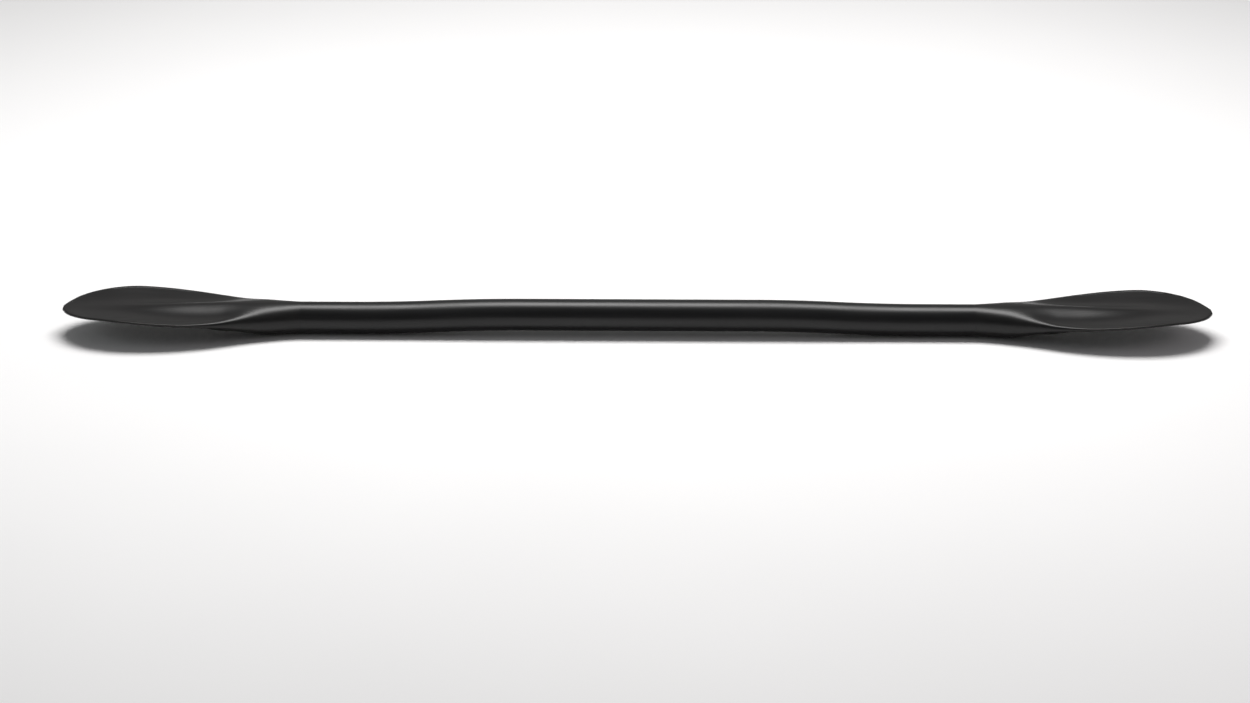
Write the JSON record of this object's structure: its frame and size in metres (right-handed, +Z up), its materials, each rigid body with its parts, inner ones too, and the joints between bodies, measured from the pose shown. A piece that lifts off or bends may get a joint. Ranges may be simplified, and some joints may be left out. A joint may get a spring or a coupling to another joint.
{
  "type": "double-ended paddle",
  "caption": "One-piece paddle with a slightly crowned round loom that runs as a fading ridge into a shallow dished oval blade at each end, satin black.",
  "frame": {"origin": "on the ground under the middle of the loom, where the paddle rests on the heels of its two blades", "axes": "+X along the loom towards the right blade's tip, +Y across the blades, +Z up out of the dished faces"},
  "size_m": [1.15, 0.1004, 0.0364],
  "materials": {
    "loom_laminate": "satin",
    "blade_laminate": "satin",
    "rim_resin": "satin",
    "core_foam": "closed-cell foam",
    "spar_carbon": "pultruded strip",
    "spigot_laminate": "sanded laminate",
    "plug_foam": "closed-cell foam"
  },
  "bodies": {
    "root": {"loom_tube": "loom_laminate", "left_blade_back_shell": "blade_laminate", "left_blade_face_shell": "blade_laminate", "left_rim_bead": "rim_resin", "left_blade_core": "core_foam", "left_spine_spar": "spar_carbon", "left_neck_spigot": "spigot_laminate", "left_neck_plug": "plug_foam", "right_blade_back_shell": "blade_laminate", "right_blade_face_shell": "blade_laminate", "right_rim_bead": "rim_resin", "right_blade_core": "core_foam", "right_spine_spar": "spar_carbon", "right_neck_spigot": "spigot_laminate", "right_neck_plug": "plug_foam"}
  },
  "joints": []
}
